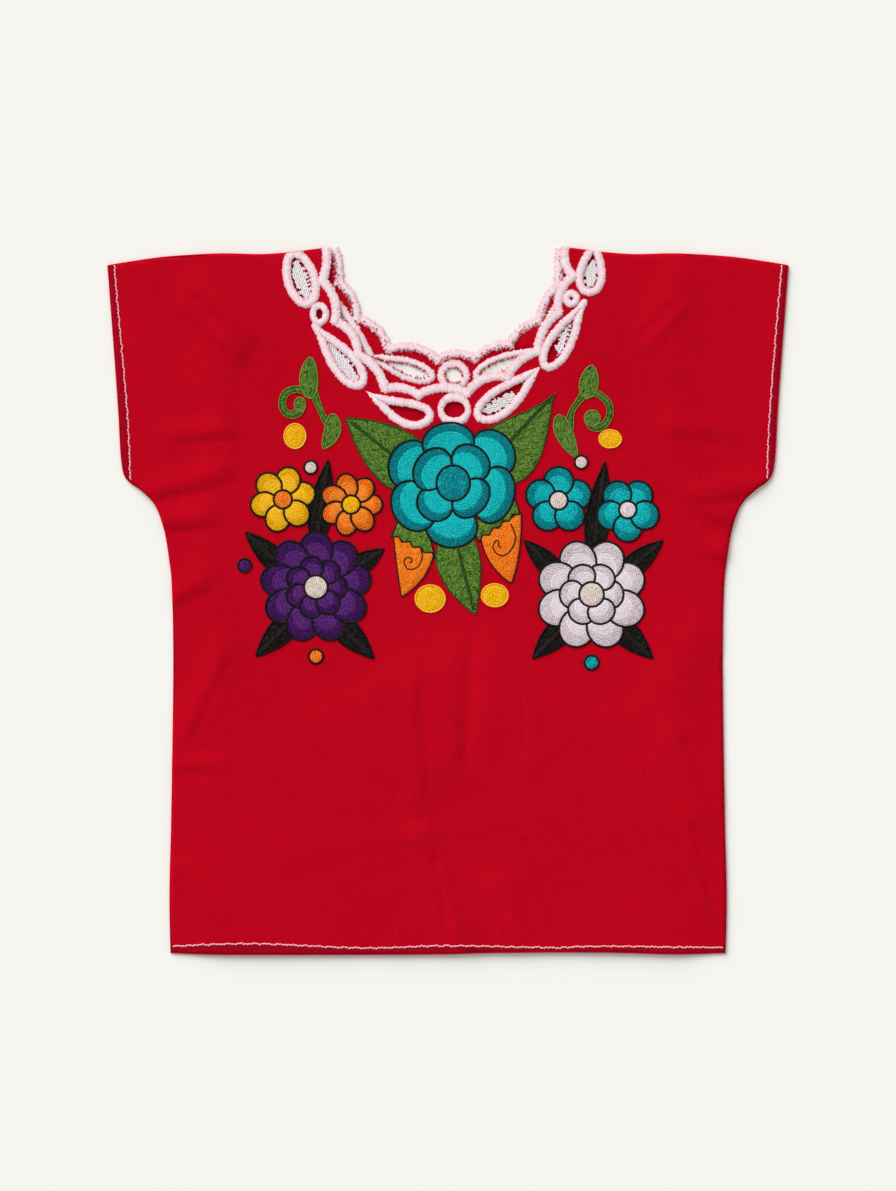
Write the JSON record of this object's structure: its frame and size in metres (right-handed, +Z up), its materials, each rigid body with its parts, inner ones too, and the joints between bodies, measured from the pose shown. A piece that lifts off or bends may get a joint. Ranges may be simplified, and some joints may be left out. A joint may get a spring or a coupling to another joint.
{
  "type": "huipil blouse",
  "caption": "Cap-sleeved huipil blouse laid flat, with a scalloped cutwork neck edged in satin cord and raised flower embroidery across the chest.",
  "frame": {"origin": "on the underside of the back panel, at the middle of the blouse's width and length", "axes": "+Z up out of the front, +Y towards the shoulders, +X towards the wearer's left sleeve as it lies front upwards"},
  "size_m": [0.6598, 0.6864, 0.0089],
  "materials": {
    "red_cloth": "plain-weave cotton, matt, softly creased",
    "white_thread": "satin stitch in white rayon thread",
    "teal_thread": "satin stitch in teal rayon thread, in two tones",
    "green_thread": "fill stitch in leaf-green rayon thread",
    "yellow_thread": "fill stitch in yellow rayon thread",
    "orange_thread": "fill stitch in orange rayon thread",
    "purple_thread": "fill stitch in purple rayon thread",
    "cream_thread": "fill stitch in cream rayon thread",
    "black_thread": "fill stitch and outlines in black rayon thread"
  },
  "bodies": {
    "root": {"anemone": "teal_thread", "anemone_heart": "cream_thread", "back_neck_cords": "white_thread", "back_neck_ring": "white_thread", "back_panel": "red_cloth", "berry_1": "cream_thread", "berry_2": "purple_thread", "berry_3": "orange_thread", "berry_4": "cream_thread", "berry_5": "teal_thread", "bud_left": "orange_thread", "bud_right": "orange_thread", "calyx_left": "green_thread", "calyx_right": "green_thread", "camellia": "white_thread", "camellia_heart": "cream_thread", "dahlia": "purple_thread", "dahlia_heart": "cream_thread", "daisy": "yellow_thread", "daisy_heart": "orange_thread", "dot_left": "yellow_thread", "dot_low_left": "yellow_thread", "dot_low_right": "yellow_thread", "dot_right": "yellow_thread", "front_neck_cords": "white_thread", "front_panel": "red_cloth", "leaf_left": "green_thread", "leaf_low": "green_thread", "leaf_right": "green_thread", "marigold": "orange_thread", "marigold_heart": "yellow_thread", "primrose": "teal_thread", "primrose_heart": "white_thread", "rose": "teal_thread", "spray_leaf_1": "black_thread", "spray_leaf_10": "black_thread", "spray_leaf_2": "black_thread", "spray_leaf_3": "black_thread", "spray_leaf_4": "black_thread", "spray_leaf_5": "black_thread", "spray_leaf_6": "black_thread", "spray_leaf_7": "black_thread", "spray_leaf_8": "black_thread", "spray_leaf_9": "black_thread", "tendril_left": "green_thread", "tendril_right": "green_thread"}
  },
  "joints": []
}
